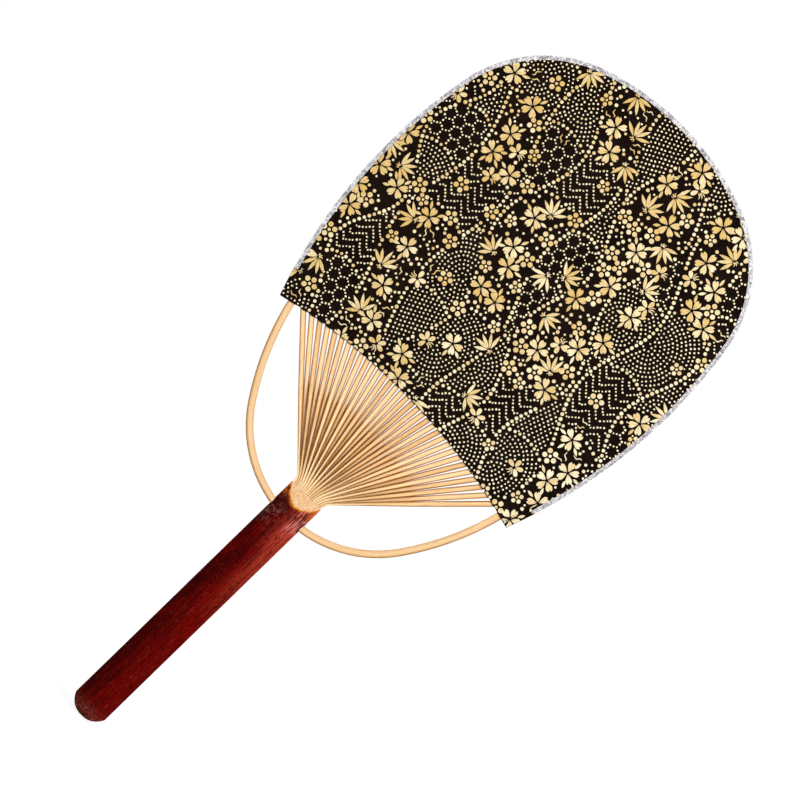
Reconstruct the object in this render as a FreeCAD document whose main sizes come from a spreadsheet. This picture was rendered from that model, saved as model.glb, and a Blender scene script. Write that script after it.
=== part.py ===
"""Round uchiwa fan: a split bamboo rib fan on a lacquered handle, spread by a bow and covered with paper.

Millimetres and degrees. The leaf lies in the XZ plane and its printed front faces -Y. Z runs up along the
handle from the middle of the grip, which is the origin. The neck is the handle's upper end, where the ribs
are split apart.
"""
import FreeCAD, Part
import math
import os
import re
import Sketcher
from FreeCAD import Placement, Rotation, Vector

SIZES = {
    # Handle: convex front, flat planed back
    "handle_length": 135.0,
    "handle_width": 17.6,
    "handle_front": 4.8,
    "handle_back": 3.8,
    "handle_flank": 1.2,
    "handle_edge_radius": 1.6,
    "butt_round": 5.7,
    "butt_dome": 2.6,
    "neck_front_bevel": 6.2,
    "neck_back_bevel": 5.0,
    "neck_side_bevel": 5.0,
    "neck_margin": 0.9,
    # Ribs, split in two layers at the neck and merged into one under the paper
    "rib_count": 33,
    "rib_root_gap": 0.1,
    "rib_root_depth": 1.5,
    "rib_layer_gap": 0.2,
    "rib_bend": 5.0,
    "rib_layered_length": 34.0,
    "rib_layered_width": 2.2,
    "rib_merge_length": 50.0,
    "rib_merge_width": 2.45,
    "rib_depth": 1.0,
    "rib_blank_width": 3.0,
    "rib_rim_gap": 0.3,
    # Bow: one strip bent through the handle, its tips shaved to lie between the papers at the leaf's corners
    "bow_drop": 12.4,
    "bow_width": 3.3,
    "bow_depth": 2.4,
    "bow_inner_radius": 55.0,
    "bow_outer_radius": 125.8,
    "bow_tip_inset": 4.5,
    "bow_tip_rise": 5.0,
    "bow_tip_depth": 1.0,
    "bow_rib_gap": 1.25,
    "bow_shave_length": 10.0,
    "bow_clearance": 0.35,
    # Leaf: chain of tangent arcs, each turn measured from the leaf's axis
    "leaf_height": 226.1,
    "crown_radius": 123.7,
    "crown_turn": 19.7,
    "shoulder_radius": 59.7,
    "shoulder_turn": 80.3,
    "side_radius": 235.3,
    "corner_turn": 110.2,
    "arch_rise": 8.6,
    "paper_thickness": 0.25,
    "paste_gap": 0.3,
    # Rim: folded silver strip and the two ears that cap its lower ends
    "fold_gap": 0.03,
    "binding_thickness": 0.2,
    "binding_cover": 1.6,
    "ear_thickness": 0.3,
    "ear_cover": 2.6,
    "ear_length": 13.5,
    # Thread woven through the ribs and lashed to the bow
    "thread_width": 0.4,
    "thread_depth": 0.24,
    "thread_inset": 2.2,
    "thread_clearance": 0.03,
    "lashing_height": 1.6,
    # How far a cut runs past what it cuts
    "cut_overrun": 5.0,
}

# What follows from the sizes, in this order, so that the pieces meet
FITS = {
    # Handle's two ends, and half the depth of the ribs' two layers and of the leaf
    "neck": "handle_length / 2",
    "butt": "-handle_length / 2",
    "stack_half": "rib_root_depth + rib_layer_gap / 2",
    "leaf_half": "rib_depth / 2 + paste_gap + paper_thickness",
    # Centres of the rim's arcs, and the right lower corner of the leaf
    "crown_z": "neck + leaf_height - crown_radius",
    "shoulder_x": "(crown_radius - shoulder_radius) * sin(crown_turn)",
    "shoulder_z": "crown_z + (crown_radius - shoulder_radius) * cos(crown_turn)",
    "side_x": "shoulder_x + (shoulder_radius - side_radius) * sin(shoulder_turn)",
    "side_z": "shoulder_z + (shoulder_radius - side_radius) * cos(shoulder_turn)",
    "corner_x": "side_x + side_radius * sin(corner_turn)",
    "corner_z": "side_z + side_radius * cos(corner_turn)",
    "ear_turn": "corner_turn - ear_length / side_radius * 180 / pi",
    "arch_radius": "(corner_x^2 + arch_rise^2) / (2 * arch_rise)",
    # Bow's right half: foot in the handle, tip at the leaf's corner, and the knee between its two arcs
    "foot_z": "neck - bow_drop",
    "tip_x": "corner_x - bow_tip_inset",
    "tip_z": "corner_z + bow_tip_rise",
    "inner_z": "foot_z + bow_inner_radius",
    "arc_step": "bow_outer_radius - bow_inner_radius",
    "tip_reach": "sqrt(tip_x^2 + (tip_z - inner_z)^2)",
    "tip_turn": "acos((arc_step^2 + tip_reach^2 - bow_outer_radius^2) / (2 * arc_step * tip_reach)) / 1 deg",
    "knee_turn": "atan((tip_z - inner_z) / tip_x) / 1 deg + tip_turn - 90",
    "knee_x": "bow_inner_radius * sin(knee_turn)",
    "knee_z": "inner_z - bow_inner_radius * cos(knee_turn)",
    "outer_x": "-arc_step * sin(knee_turn)",
    "outer_z": "inner_z + arc_step * cos(knee_turn)",
    # Ribs: spread over the neck, and turned until the end ones pass beside the bow's tips
    "root_half": "handle_width / 2 - neck_margin",
    "root_width": "4 * root_half / (rib_count - 1) - rib_root_gap",
    "end_rib_x": "tip_x - (bow_width + rib_blank_width) / 2 - bow_rib_gap",
    "rib_turn": "atan((end_rib_x - root_half) / (tip_z - neck - rib_bend / 2)) / 1 deg",
    "rib_length": "leaf_height + cut_overrun",
}

# Flat part of a strip's face and edge, as shares of its width and depth: at a rib's root and elsewhere
ROOT_FLATS = (0.85, 0.85)
STRIP_FLATS = (0.45, 0.4)
BEND_STEPS = 3
# Closer to an axis than this, a sketch point is tied to the axis
ON_AXIS = 1e-7

doc = FreeCAD.newDocument("uchiwa_fan")
sheet = doc.addObject("Spreadsheet::Sheet", "Sizes")
for row, (alias, number) in enumerate(SIZES.items(), start=1):
    sheet.set(f"A{row}", alias)
    sheet.set(f"B{row}", str(number))
    sheet.setAlias(f"B{row}", alias)
doc.recompute()


def expand(formula):
    """A formula in the names above as FreeCAD reads it."""
    def full_name(word):
        if word[0] in SIZES:
            return f"Sizes.{word[0]}"
        return f"Fits.{word[0]}" if word[0] in FITS else word[0]

    return re.sub(r"[a-z]\w*", full_name, formula)


def value(formula):
    """The number that a formula gives."""
    return float(sheet.evalExpression(expand(formula)))


def bind(target, field, formula):
    """Ties a field of an object to a formula."""
    target.setExpression(field, expand(formula))


fits = doc.addObject("App::VarSet", "Fits")
for name, formula in FITS.items():
    fits.addProperty("App::PropertyFloat", name)
    bind(fits, name, formula)
    doc.recompute()


def origin_plane(body, role):
    """One of a body's own origin planes."""
    return next(plane for plane in body.Origin.OriginFeatures if plane.Role == role)


def new_body(label):
    """An empty body with its label."""
    body = doc.addObject("PartDesign::Body", label)
    body.Label = label
    return body


def new_sketch(body, name, role, offset="0"):
    """A sketch on an origin plane, moved along the plane's normal by an offset."""
    sketch = body.newObject("Sketcher::SketchObject", f"{body.Label}_{name}")
    sketch.AttachmentSupport = [(origin_plane(body, role), "")]
    sketch.MapMode = "FlatFace"
    sketch.AttachmentOffset = Placement(Vector(0, 0, value(offset)), Rotation())
    bind(sketch, "AttachmentOffset.Base.z", offset)
    return sketch


def arc_through(start, end, radius, bulge):
    """The short arc between two points that bulges left (1) or right (-1) of the way between them.

    A sketch counts its arcs counter-clockwise, so one that bulges left is drawn from its end.
    """
    chord = end - start
    half = chord.Length / 2
    rise = radius - math.sqrt(radius * radius - half * half)
    left = Vector(-chord.y, chord.x, 0).normalize()
    first, last = (start, end) if bulge < 0 else (end, start)
    return Part.Arc(first, (start + end) / 2 + left * (rise * bulge), last)


def corner_of(shape, point):
    """Which end of a sketch line or arc lies at a point: 1 for its start, 2 for its end."""
    return 1 if shape.StartPoint.distanceToPoint(point) < shape.EndPoint.distanceToPoint(point) else 2


def pin(sketch, edge, end, place, formulas):
    """Ties one end of a sketch edge to the place that two formulas give."""
    axes = (("DistanceX", place.x, -2), ("DistanceY", place.y, -1))
    for (kind, where, axis), formula in zip(axes, formulas):
        if abs(where) < ON_AXIS:
            sketch.addConstraint(Sketcher.Constraint("PointOnObject", edge, end, axis))
        else:
            tie = sketch.addConstraint(Sketcher.Constraint(kind, -1, 1, edge, end, where))
            bind(sketch, f"Constraints[{tie}]", formula)


def draw(sketch, points, arcs=None):
    """A closed outline through points given as formulas.

    arcs maps the number of an edge to its radius and bulge. The other edges are straight.
    """
    arcs = arcs or {}
    count = len(points)
    corners = [Vector(value(x), value(y), 0) for x, y in points]
    edges = []
    for number, start in enumerate(corners):
        end = corners[(number + 1) % count]
        if number in arcs:
            radius, bulge = arcs[number]
            edges.append(arc_through(start, end, value(radius), bulge))
        else:
            edges.append(Part.LineSegment(start, end))
    sketch.addGeometry(edges, False)
    drawn = sketch.Geometry
    for number, corner in enumerate(corners):
        before = (number - 1) % count
        end = corner_of(drawn[number], corner)
        sketch.addConstraint(
            Sketcher.Constraint("Coincident", before, corner_of(drawn[before], corner), number, end))
        pin(sketch, number, end, corner, points[number])
    for number, (radius, bulge) in arcs.items():
        tie = sketch.addConstraint(Sketcher.Constraint("Radius", number, value(radius)))
        bind(sketch, f"Constraints[{tie}]", radius)


def draw_path(sketch, points, radii):
    """An open chain of arcs through points given as formulas, all bulging to the right of the way."""
    places = [Vector(value(x), value(y), 0) for x, y in points]
    chain = [arc_through(places[k], places[k + 1], value(radii[k]), -1) for k in range(len(radii))]
    sketch.addGeometry(chain, False)
    for number, radius in enumerate(radii):
        tie = sketch.addConstraint(Sketcher.Constraint("Radius", number, value(radius)))
        bind(sketch, f"Constraints[{tie}]", radius)
        if number:
            sketch.addConstraint(Sketcher.Constraint("Coincident", number - 1, 2, number, 1))
    for number, place in enumerate(places):
        edge, end = (number, 1) if number < len(radii) else (number - 1, 2)
        pin(sketch, edge, end, place, points[number])


def pad(body, sketch, length, symmetric=False):
    """Raises a sketch by a length, to one side or half to each."""
    feature = body.newObject("PartDesign::Pad", f"{sketch.Name}_pad")
    feature.Profile = sketch
    feature.SideType = "Symmetric" if symmetric else "One side"
    feature.Length = value(length)
    bind(feature, "Length", length)
    return feature


def cut(body, sketch, length):
    """Cuts a sketch out of the body, half the length to each side of its plane, and tests that it cut."""
    doc.recompute()
    before = body.Shape.Volume
    feature = body.newObject("PartDesign::Pocket", f"{sketch.Name}_cut")
    feature.Profile = sketch
    feature.SideType = "Symmetric"
    feature.Length = value(length)
    bind(feature, "Length", length)
    doc.recompute()
    if not body.Shape.Volume < before:
        raise RuntimeError(f"{sketch.Name} cuts nothing")
    return feature


def strip_section(body, name, role, place, turn, width, depth, flats=STRIP_FLATS):
    """A strip's section with bevelled edges, centred on a place and turned about the plane's own Y."""
    sketch = new_sketch(body, name, role)
    sketch.AttachmentOffset = Placement(Vector(*map(value, place)), Rotation(Vector(0, 1, 0), value(turn)))
    for axis, formula in zip("xyz", place):
        bind(sketch, f"AttachmentOffset.Base.{axis}", formula)
    bind(sketch, "AttachmentOffset.Rotation.Angle", turn)
    half_x, half_y = value(width) / 2, value(depth) / 2
    flat_x, flat_y = half_x * flats[0], half_y * flats[1]
    quarter = [(-half_x, -flat_y), (-flat_x, -half_y), (flat_x, -half_y), (half_x, -flat_y)]
    ring = quarter + [(-x, -y) for x, y in quarter]
    corners = [Vector(x, y, 0) for x, y in ring]
    count = len(corners)
    lines = [Part.LineSegment(corners[k], corners[(k + 1) % count]) for k in range(count)]
    sketch.addGeometry(lines, False)
    ties = [Sketcher.Constraint("Coincident", k, 2, (k + 1) % count, 1) for k in range(count)]
    ties += [Sketcher.Constraint("Symmetric", edge, 1, edge, 2, axis) for edge, axis in ((1, -2), (3, -1))]
    ties += [Sketcher.Constraint("Symmetric", k, 1, k + 4, 1, -1, 1) for k in range(4)]
    sketch.addConstraint(ties)
    measures = (
        ("DistanceX", 0, 1, 3, 1, width),
        ("DistanceY", 1, 1, 5, 1, depth),
        ("DistanceX", 1, 1, 1, 2, f"({width}) * {flats[0]}"),
        ("DistanceY", 3, 1, 3, 2, f"{depth} * {flats[1]}"),
    )
    for kind, first, first_end, second, second_end, formula in measures:
        tie = sketch.addConstraint(
            Sketcher.Constraint(kind, first, first_end, second, second_end, value(formula)))
        bind(sketch, f"Constraints[{tie}]", formula)
    return sketch


def side_point(offset, turn, hand=1):
    """The point of the right (1) or left (-1) side arc at a turn, moved out of the leaf by an offset."""
    x = f"{hand} * (side_x + (side_radius + {offset}) * sin({turn}))"
    return x, f"side_z + (side_radius + {offset}) * cos({turn})"


def rim(offset, turn):
    """Points and arcs of the rim from its right lower end over the crown to its left lower end."""
    x = f"(shoulder_x + (shoulder_radius + {offset}) * sin(crown_turn))"
    z = f"shoulder_z + (shoulder_radius + {offset}) * cos(crown_turn)"
    right = [side_point(offset, turn), side_point(offset, "shoulder_turn"), (x, z)]
    left = [(f"-1 * {x}", z) for x, z in reversed(right)]
    names = ("side_radius", "shoulder_radius", "crown_radius", "shoulder_radius", "side_radius")
    return right + left, [f"{name} + {offset}" for name in names]


def make_handle():
    """Lens-shaped bar with a domed butt, a neck bevelled down to the ribs and a hole for the bow."""
    body = new_body("handle")
    half = "handle_width / 2"
    section = new_sketch(body, "section", "XY_Plane", "butt")
    crown = "(handle_front - handle_flank)"
    front_radius = f"(({half})^2 + {crown}^2) / (2 * {crown})"
    round_start = "handle_back - handle_edge_radius"
    draw(section, [
        (f"-{half}", "-handle_flank"),
        (half, "-handle_flank"),
        (half, round_start),
        (f"{half} - handle_edge_radius", "handle_back"),
        (f"handle_edge_radius - {half}", "handle_back"),
        (f"-{half}", round_start),
    ], {0: (front_radius, -1), 2: ("handle_edge_radius", -1), 4: ("handle_edge_radius", -1)})
    pad(body, section, "handle_length")

    through = "2 * (handle_width + cut_overrun)"
    low = "butt - cut_overrun"
    outlines = (
        ("butt_plan", "XZ_Plane", f"-{half}", half, "butt_round"),
        ("butt_side", "YZ_Plane", "-handle_front", "handle_back", "butt_dome"),
    )
    for name, role, near, far, rise in outlines:
        level = f"butt + {rise}"
        chord = f"(({far}) - ({near})) / 2"
        radius = f"(({chord})^2 + {rise}^2) / (2 * {rise})"
        sketch = new_sketch(body, name, role)
        draw(sketch, [
            (f"{near} - cut_overrun", level),
            (near, level),
            (far, level),
            (f"{far} + cut_overrun", level),
            (f"{far} + cut_overrun", low),
            (f"{near} - cut_overrun", low),
        ], {1: (radius, -1)})
        cut(body, sketch, through)

    root = "(root_half + root_width)"
    bevels = (
        ("front_bevel", "YZ_Plane", -1, "stack_half", "handle_front", "neck_front_bevel"),
        ("back_bevel", "YZ_Plane", 1, "stack_half", "handle_back", "neck_back_bevel"),
        ("left_bevel", "XZ_Plane", -1, root, half, "neck_side_bevel"),
        ("right_bevel", "XZ_Plane", 1, root, half, "neck_side_bevel"),
    )
    for name, role, hand, inner, outer, length in bevels:
        clear = f"{hand} * ({outer} + cut_overrun)"
        sketch = new_sketch(body, name, role)
        draw(sketch, [
            (f"{hand} * {inner}", "neck"),
            (f"{hand} * {outer}", f"neck - {length}"),
            (clear, f"neck - {length}"),
            (clear, "neck + cut_overrun"),
            (f"{hand} * {inner}", "neck + cut_overrun"),
        ])
        cut(body, sketch, through)

    side = "(bow_depth / 2 + bow_clearance)"
    rise = f"(bow_inner_radius - sqrt(bow_inner_radius^2 - ({half})^2))"
    floor = "foot_z - bow_width / 2 - bow_clearance"
    roof = f"foot_z + {rise} + bow_width / 2 + bow_clearance"
    hole = new_sketch(body, "bow_hole", "YZ_Plane")
    draw(hole, [(f"-{side}", floor), (side, floor), (side, roof), (f"-{side}", roof)])
    cut(body, hole, through)
    return body


def rib_share(number):
    """Where a rib stands in the fan, from -1 at the left end to 1 at the right."""
    middle = (value("rib_count") - 1) / 2
    return (number - middle) / middle


def rib_layer(number):
    """The layer of a rib at the neck: -1 in front, 1 behind. The two end ribs are in front."""
    return 1 if number % 2 else -1


def rib_stations(number):
    """Place, turn, width, depth and flats of a rib's sections, from its root on the neck to past the rim.

    In the bend a rib widens as its neighbours spread, so that it parts from them only above it.
    """
    share = rib_share(number)
    heading = f"(rib_turn * {share})"
    x, z = f"root_half * {share}", "neck"
    y = f"{rib_layer(number)} * (rib_root_depth + rib_layer_gap) / 2"
    stations = [((x, y, z), "0", "root_width", "rib_root_depth", ROOT_FLATS)]
    for step in range(1, BEND_STEPS + 1):
        part = step / BEND_STEPS
        middle = f"{heading} * {(step - 0.5) / BEND_STEPS}"
        x += f" + rib_bend / {BEND_STEPS} * sin({middle})"
        z += f" + rib_bend / {BEND_STEPS} * cos({middle})"
        spread = f"root_half * cos({heading} * {part}) + rib_bend * rib_turn * pi / 360 * {part ** 2}"
        width = f"4 * ({spread}) / (rib_count - 1) - rib_root_gap"
        stations.append(((x, y, z), f"{heading} * {part}", width, "rib_root_depth", ROOT_FLATS))
    runs = (
        ("rib_layered_length", y, "rib_layered_width", "rib_root_depth", STRIP_FLATS),
        ("rib_merge_length", "0", "rib_merge_width", "rib_depth", STRIP_FLATS),
        ("rib_length", "0", "rib_blank_width", "rib_depth", STRIP_FLATS),
    )
    for run, depth_place, width, depth, flats in runs:
        place = (f"{x} + {run} * sin({heading})", depth_place, f"{z} + {run} * cos({heading})")
        stations.append((place, heading, width, depth, flats))
    return stations


def make_trim():
    """The plate that every rib is trimmed to: the leaf's outline, open down to the neck."""
    body = new_body("rim_trim")
    points, radii = rim("(-rib_rim_gap)", "corner_turn")
    low = "neck - cut_overrun"
    sketch = new_sketch(body, "outline", "XZ_Plane")
    arcs = {number: (radius, -1) for number, radius in enumerate(radii)}
    draw(sketch, points + [(points[-1][0], low), (points[0][0], low)], arcs)
    pad(body, sketch, "2 * (rib_root_depth + cut_overrun)", symmetric=True)
    return body


def make_rib(number, trim):
    """One rib: a strip lofted from its root through the bend and trimmed at the rim."""
    label = f"rib_{number + 1:02d}"
    blank = new_body(f"{label}_blank")
    sections = [
        strip_section(blank, f"section_{k}", "XY_Plane", *station)
        for k, station in enumerate(rib_stations(number))
    ]
    loft = blank.newObject("PartDesign::AdditiveLoft", f"{label}_loft")
    loft.Profile = sections[0]
    loft.Sections = sections[1:]
    loft.Ruled = True
    rib = doc.addObject("Part::Common", label)
    rib.Label = label
    rib.Base = blank
    rib.Tool = trim
    return rib


def make_bow():
    """Strip swept along two tangent arcs, mirrored about the handle, with both tips shaved thin."""
    body = new_body("bow")
    path = new_sketch(body, "path", "XZ_Plane")
    route = [("0", "foot_z"), ("knee_x", "knee_z"), ("tip_x", "tip_z")]
    draw_path(path, route, ["bow_inner_radius", "bow_outer_radius"])
    section = strip_section(body, "section", "YZ_Plane", ("0", "foot_z", "0"), "0", "bow_depth", "bow_width")
    half = body.newObject("PartDesign::AdditivePipe", "bow_half")
    half.Profile = section
    half.Spine = (path, ["Edge1", "Edge2"])
    doc.recompute()
    whole = body.newObject("PartDesign::Mirrored", "bow_whole")
    whole.Originals = [half]
    whole.MirrorPlane = (origin_plane(body, "YZ_Plane"), [""])
    body.Tip = whole
    doc.recompute()

    for name, hand in (("front_shave", -1), ("back_shave", 1)):
        clear = f"{hand} * (bow_depth / 2 + cut_overrun)"
        start = "corner_z - bow_width - bow_shave_length"
        top = "tip_z + cut_overrun"
        shaved = f"{hand} * bow_tip_depth / 2"
        sketch = new_sketch(body, name, "YZ_Plane")
        draw(sketch, [
            (f"{hand} * bow_depth / 2", start),
            (shaved, "corner_z - bow_width"),
            (shaved, top),
            (clear, top),
            (clear, start),
        ])
        cut(body, sketch, "4 * bow_outer_radius")
    return body


def make_paper(label, offset):
    """One sheet of the leaf, with the arched lower edge that leaves the ribs bare."""
    body = new_body(label)
    points, radii = rim("0", "corner_turn")
    arcs = {number: (radius, -1) for number, radius in enumerate(radii)}
    arcs[len(radii)] = ("arch_radius", 1)
    sketch = new_sketch(body, "outline", "XZ_Plane", offset)
    draw(sketch, points, arcs)
    pad(body, sketch, "paper_thickness")
    return body


def hollow(body):
    """Cuts the leaf's own thickness out of a strip that is folded over its rim."""
    points, radii = rim("fold_gap", "(corner_turn + ear_length / side_radius * 180 / pi)")
    sketch = new_sketch(body, "leaf", "XZ_Plane")
    draw(sketch, points, {number: (radius, -1) for number, radius in enumerate(radii)})
    cut(body, sketch, "2 * (leaf_half + fold_gap)")


def make_binding():
    """Silver strip folded over the rim from ear to ear."""
    body = new_body("edge_binding")
    outer, outer_radii = rim("(fold_gap + binding_thickness)", "ear_turn")
    inner, inner_radii = rim("(-binding_cover)", "ear_turn")
    sketch = new_sketch(body, "band", "XZ_Plane")
    arcs = {number: (radius, -1) for number, radius in enumerate(outer_radii)}
    arcs.update({len(outer) + number: (radius, 1) for number, radius in enumerate(reversed(inner_radii))})
    draw(sketch, outer + inner[::-1], arcs)
    pad(body, sketch, "2 * (leaf_half + fold_gap + binding_thickness)", symmetric=True)
    hollow(body)
    return body


def make_ear(label, hand):
    """Printed patch folded over the lower end of one side of the rim."""
    body = new_body(label)
    outer = "(fold_gap + ear_thickness)"
    inner = "(-ear_cover)"
    top = "(ear_turn + fold_gap / side_radius * 180 / pi)"
    sketch = new_sketch(body, "patch", "XZ_Plane")
    draw(sketch, [
        side_point(outer, "corner_turn", hand),
        side_point(outer, top, hand),
        side_point(inner, top, hand),
        side_point(inner, "corner_turn", hand),
    ], {0: (f"side_radius + {outer}", -hand), 2: (f"side_radius + {inner}", hand)})
    pad(body, sketch, "2 * (leaf_half + fold_gap + ear_thickness)", symmetric=True)
    hollow(body)
    return body


def crossing(stations, centre_z, radius):
    """Where a rib meets the thread's arc: the angle from the leaf's axis, and the rib's half width there."""
    (x0, _, z0), (x1, _, z1) = [tuple(map(value, station[0])) for station in stations[-2:]]
    start = Vector(x0, z0 - centre_z, 0)
    way = Vector(x1 - x0, z1 - z0, 0)
    a, b, c = way.dot(way), 2 * start.dot(way), start.dot(start) - radius ** 2
    share = (-b + math.sqrt(b * b - 4 * a * c)) / (2 * a)
    point = start + way * share
    width = value(stations[-2][2]) + (value(stations[-1][2]) - value(stations[-2][2])) * share
    angle = math.atan2(point.x, point.y)
    lean = math.radians(value(stations[-1][1])) - angle
    return angle, width / 2 / math.cos(lean)


def thread_section(angle, centre_z, radius, y):
    """Rectangle across the thread at an angle of its arc and a depth in the leaf."""
    half_width, half_depth = value("thread_width") / 2, value("thread_depth") / 2
    corners = []
    for out, deep in ((-1, -1), (1, -1), (1, 1), (-1, 1)):
        reach = radius + out * half_width
        x, z = reach * math.sin(angle), centre_z + reach * math.cos(angle)
        corners.append(Vector(x, y + deep * half_depth, z))
    return Part.makePolygon(corners + corners[:1])


def make_thread(rib_numbers):
    """Thread woven in front of and behind the ribs in turn, lashed round the bow at each end.

    It is lofted section by section, because it changes side in every gap between two ribs.
    """
    centre_z = value("corner_z + arch_rise - arch_radius")
    radius = value("arch_radius + thread_inset")
    clear = value("thread_clearance")
    lift = value("rib_depth") / 2 + clear + value("thread_depth") / 2
    bend = Vector(value("outer_x"), value("outer_z"), 0)
    bow_circle = Part.Circle(bend, Vector(0, 0, 1), value("bow_outer_radius"))
    thread_circle = Part.Circle(Vector(0, centre_z, 0), Vector(0, 0, 1), radius)
    meets = [Vector(point.X, point.Y, 0) for point in bow_circle.intersect(thread_circle)]
    tie = max(meets, key=lambda point: point.x)
    lash_half = value("bow_width") / 2 + clear + value("thread_depth")
    end_angle = math.atan2(tie.x, tie.y - centre_z) - (lash_half - value("thread_depth") / 2) / radius

    sections = []
    for number in rib_numbers:
        angle, half = crossing(rib_stations(number), centre_z, radius)
        swing = (half + clear) / radius
        y = -rib_layer(number) * lift
        sections += [(angle - swing, y), (angle + swing, y)]
    sections = [(-end_angle, 0)] + sections + [(end_angle, 0)]
    wires = [thread_section(angle, centre_z, radius, y) for angle, y in sections]
    woven = Part.makeLoft(wires, True, True)

    lean = math.degrees(math.atan2(tie.y - bend.y, tie.x - bend.x))
    for hand in (-1, 1):
        band = lashing_band(lash_half, value("bow_tip_depth") / 2 + clear, value("thread_depth"))
        band.Placement = Placement(Vector(hand * tie.x, 0, tie.y), Rotation(Vector(0, 1, 0), -hand * lean))
        woven = woven.fuse(band)
    thread = doc.addObject("Part::Feature", "stay_thread")
    thread.Label = "stay_thread"
    thread.Shape = woven.removeSplitter()
    return thread


def lashing_band(half_width, half_depth, wall):
    """Flat band of turns round the bow's tip."""
    height = value("lashing_height")
    outside = Part.makeBox(2 * half_width, 2 * (half_depth + wall), height,
                           Vector(-half_width, -half_depth - wall, -height / 2))
    inside = Part.makeBox(2 * (half_width - wall), 2 * half_depth, 2 * height,
                          Vector(wall - half_width, -half_depth, -height))
    return outside.cut(inside)


handle = make_handle()
trim = make_trim()
rib_numbers = range(int(value("rib_count")))
ribs = [make_rib(number, trim) for number in rib_numbers]
bow = make_bow()
papers = [
    make_paper("front_paper", "leaf_half - paper_thickness"),
    make_paper("back_paper", "-leaf_half"),
]
rim_pieces = [make_binding(), make_ear("left_ear", -1), make_ear("right_ear", 1)]
thread = make_thread(rib_numbers)
doc.recompute()

for item in doc.Objects:
    if "Invalid" in item.State or "Error" in item.State:
        raise RuntimeError(f"{item.Label} failed: {item.getStatusString()}")

pieces = [handle, *ribs, bow, thread, *papers, *rim_pieces]
for piece in pieces:
    if piece.Shape.isNull() or not piece.Shape.isValid():
        raise RuntimeError(f"{piece.Label} has no valid shape")
    if len(piece.Shape.Solids) != 1:
        raise RuntimeError(f"{piece.Label} has {len(piece.Shape.Solids)} solids")

os.makedirs("parts", exist_ok=True)
for piece in pieces:
    piece.Shape.exportStep(f"parts/{piece.Label}.step")
print(f"{len(pieces)} pieces written")
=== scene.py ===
"""Looks of a round uchiwa fan: lacquered bamboo handle, bare ribs and bow, printed paper, silver edge.

Lengths in the tables below are millimetres. The leaf lies in the XZ plane and its front faces -Y.
"""

import math
import random
from collections import namedtuple

import bpy
from mathutils import Matrix, Vector
from mathutils.geometry import convex_hull_2d


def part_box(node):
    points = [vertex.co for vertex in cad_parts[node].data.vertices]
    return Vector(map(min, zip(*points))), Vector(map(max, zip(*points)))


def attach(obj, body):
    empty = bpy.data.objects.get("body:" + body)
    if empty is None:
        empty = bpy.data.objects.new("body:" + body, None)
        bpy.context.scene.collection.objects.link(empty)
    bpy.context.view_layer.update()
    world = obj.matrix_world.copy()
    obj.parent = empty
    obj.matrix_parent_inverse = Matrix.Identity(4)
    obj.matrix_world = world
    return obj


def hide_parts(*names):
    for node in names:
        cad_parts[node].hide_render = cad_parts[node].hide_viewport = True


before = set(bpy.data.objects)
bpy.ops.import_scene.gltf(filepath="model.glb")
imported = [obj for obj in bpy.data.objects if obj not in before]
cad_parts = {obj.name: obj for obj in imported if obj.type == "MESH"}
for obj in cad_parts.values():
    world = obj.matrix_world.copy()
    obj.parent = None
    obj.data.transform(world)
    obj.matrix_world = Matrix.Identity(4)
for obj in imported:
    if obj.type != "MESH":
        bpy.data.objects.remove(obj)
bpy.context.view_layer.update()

MM = 0.001

# The fan's own places, read from the frame
RIBS = sorted(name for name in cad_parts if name.startswith("rib_"))
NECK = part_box("handle")[1].z / MM
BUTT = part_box("handle")[0].z / MM
FRONT_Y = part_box("front_paper")[0].y / MM
BACK_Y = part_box("back_paper")[1].y / MM
EAR_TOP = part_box("left_ear")[1].z / MM

# How the ribs stand on the neck: half the width of their row, the end rib's turn and the length of the bend
ROOT_HALF = 7.9
RIB_TURN = 44.0
RIB_BEND = 5.0

# Half a rib's width at places along it
RIB_HALVES = ((0.0, 0.44), (5.0, 0.43), (39.0, 1.10), (55.0, 1.23), (236.0, 1.50))

# The bow's line: height and radius of its lower arc, where that ends, and the radius of the arcs above
BOW_MIDDLE, BOW_INNER, BOW_KNEE, BOW_OUTER = 110.1, 55.0, 55.4, 125.8
BOW_HALF = 1.65

# Camera: what the middle of the photo shows, its width, and the handle's slope in it
VIEW_X, VIEW_Z = -1.4, 124.8
VIEW_WIDTH = 343.4
HANDLE_SLOPE = 44.2
CAMERA_DISTANCE = 2500.0
SENSOR_WIDTH = 36.0


# Small helpers

JOIN_WITHIN = 0.001
FLAT_WITHIN = math.radians(0.2)


def only(piece):
    """Selects one piece and nothing else."""
    bpy.ops.object.select_all(action="DESELECT")
    piece.select_set(True)
    bpy.context.view_layer.objects.active = piece
    return piece


def copy_of(node, name, whole=True):
    """A copy of a CAD node as a piece of its own, with its loose triangles joined.

    Its flat faces are made whole too, but not on a strip, whose finish needs all the corners along it.
    """
    piece = bpy.data.objects.new(name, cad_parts[node].data.copy())
    bpy.context.scene.collection.objects.link(piece)
    only(piece)
    bpy.ops.object.mode_set(mode="EDIT")
    bpy.ops.mesh.select_all(action="SELECT")
    bpy.ops.mesh.remove_doubles(threshold=JOIN_WITHIN * MM)
    if whole:
        bpy.ops.mesh.dissolve_limited(angle_limit=FLAT_WITHIN)
    bpy.ops.object.mode_set(mode="OBJECT")
    return piece


def dress(piece, finish, slot, *nodes):
    """Gives a piece its finish, lets it stand for CAD nodes and ride on the fan. The slot argument is not
    used.
    """
    piece.data.materials.clear()
    piece.data.materials.append(finish)
    if nodes:
        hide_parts(*nodes)
    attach(piece, "root")


def smooth(piece, angle):
    """Smooth shading over edges up to an angle."""
    only(piece)
    bpy.ops.object.shade_smooth_by_angle(angle=math.radians(angle))


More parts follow.
